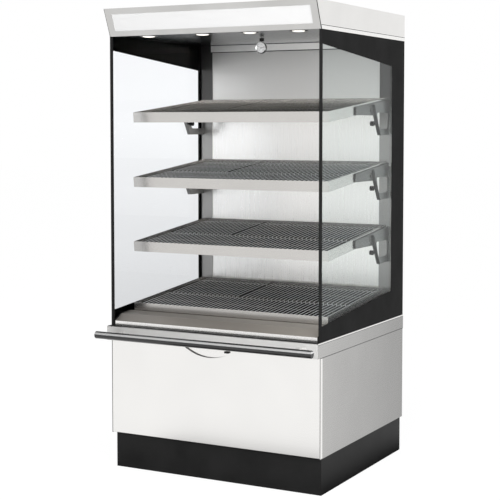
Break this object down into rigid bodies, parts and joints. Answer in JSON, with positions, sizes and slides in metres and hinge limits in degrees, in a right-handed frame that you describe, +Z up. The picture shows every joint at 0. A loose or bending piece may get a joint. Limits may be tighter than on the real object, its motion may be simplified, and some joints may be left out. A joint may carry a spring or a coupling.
{
  "type": "heated display case",
  "caption": "Floor-standing heated display case, open in front, with tilting rack shelves, a fixed base shelf, glass sides, a canopy with downlights and sign, and a drop-down base door.",
  "frame": {"origin": "on the floor, below the middle of the case's overall width and overall depth, bumper rail included", "axes": "+X to the customer's right, +Y to the back of the case, +Z up"},
  "size_m": [1.024, 1.002, 1.983],
  "materials": {
    "black_paint": "semi-gloss",
    "bright_steel": "brushed",
    "brushed_steel": "brushed",
    "galvanised": "matt",
    "shelf_steel": "brushed",
    "rack_wire": "plated",
    "bracket_steel": "satin",
    "chrome": "polished",
    "glass": "clear",
    "white_acrylic": "satin",
    "white_dial": "matt",
    "black_plastic": "matt"
  },
  "bodies": {
    "cabinet": {"back_wall": "brushed_steel", "base_back": "galvanised", "base_floor": "galvanised", "base_rack": "rack_wire", "base_side_left": "bright_steel", "base_side_right": "bright_steel", "base_tray": "shelf_steel", "blower_housing": "galvanised", "bracket_lower_left": "bracket_steel", "bracket_lower_right": "bracket_steel", "bracket_middle_left": "bracket_steel", "bracket_middle_right": "bracket_steel", "bracket_top_left": "bracket_steel", "bracket_top_right": "bracket_steel", "bumper_rail": "chrome", "bumper_stand_off_left": "chrome", "bumper_stand_off_right": "chrome", "cable_gland": "black_plastic", "canopy_ceiling": "brushed_steel", "canopy_hood": "brushed_steel", "control_box": "galvanised", "deck": "brushed_steel", "downlight_1": "chrome", "downlight_2": "chrome", "downlight_3": "chrome", "downlight_4": "chrome", "front_sill": "brushed_steel", "glass_channel_left": "black_paint", "glass_channel_right": "black_paint", "plinth": "black_paint", "rear_casing": "galvanised", "side_border_left": "black_paint", "side_border_right": "black_paint", "side_glass_left": "glass", "side_glass_right": "glass", "sign_frame": "brushed_steel", "sign_panel": "white_acrylic", "sill_end_left": "black_paint", "sill_end_right": "black_paint", "thermometer_cup": "chrome", "thermometer_dial": "white_dial", "thermometer_lens": "glass", "upright_left": "brushed_steel", "upright_right": "brushed_steel", "valance": "brushed_steel"},
    "shelf_top": {"shelf_tray_top": "shelf_steel", "shelf_rack_top": "rack_wire"},
    "shelf_middle": {"shelf_tray_middle": "shelf_steel", "shelf_rack_middle": "rack_wire"},
    "shelf_lower": {"shelf_tray_lower": "shelf_steel", "shelf_rack_lower": "rack_wire"},
    "door": {"door_panel": "bright_steel", "door_pull_cup": "bright_steel", "door_back_plate": "galvanised"},
    "needle": {"thermometer_needle": "black_plastic"},
    "switch": {"power_switch": "black_plastic"},
    "knob": {"thermostat_knob": "black_plastic"}
  },
  "joints": [
    {"name": "shelf_top_tilt", "type": "hinge", "parent": "cabinet", "child": "shelf_top", "pos_m": [0, 0.02, 1.55], "axis": [1, 0, 0], "range_deg": [-6, 0]},
    {"name": "shelf_middle_tilt", "type": "hinge", "parent": "cabinet", "child": "shelf_middle", "pos_m": [0, 0.02, 1.267], "axis": [1, 0, 0], "range_deg": [-6, 0]},
    {"name": "shelf_lower_tilt", "type": "hinge", "parent": "cabinet", "child": "shelf_lower", "pos_m": [0, 0.02, 0.984], "axis": [1, 0, 0], "range_deg": [-6, 0]},
    {"name": "door_drop", "type": "hinge", "parent": "cabinet", "child": "door", "pos_m": [0, -0.377, 0.167], "axis": [1, 0, 0], "range_deg": [0, 90]},
    {"name": "needle_swing", "type": "hinge", "parent": "cabinet", "child": "needle", "pos_m": [0.079, -0.092, 1.8196], "axis": [0, 1, 0], "range_deg": [-225, 45]},
    {"name": "switch_rock", "type": "hinge", "parent": "cabinet", "child": "switch", "pos_m": [0.29, -0.319, 0.45], "axis": [1, 0, 0], "range_deg": [0, 18]},
    {"name": "thermostat_turn", "type": "hinge", "parent": "cabinet", "child": "knob", "pos_m": [0.4, -0.325, 0.45], "axis": [0, 1, 0], "range_deg": [0, 270]}
  ]
}
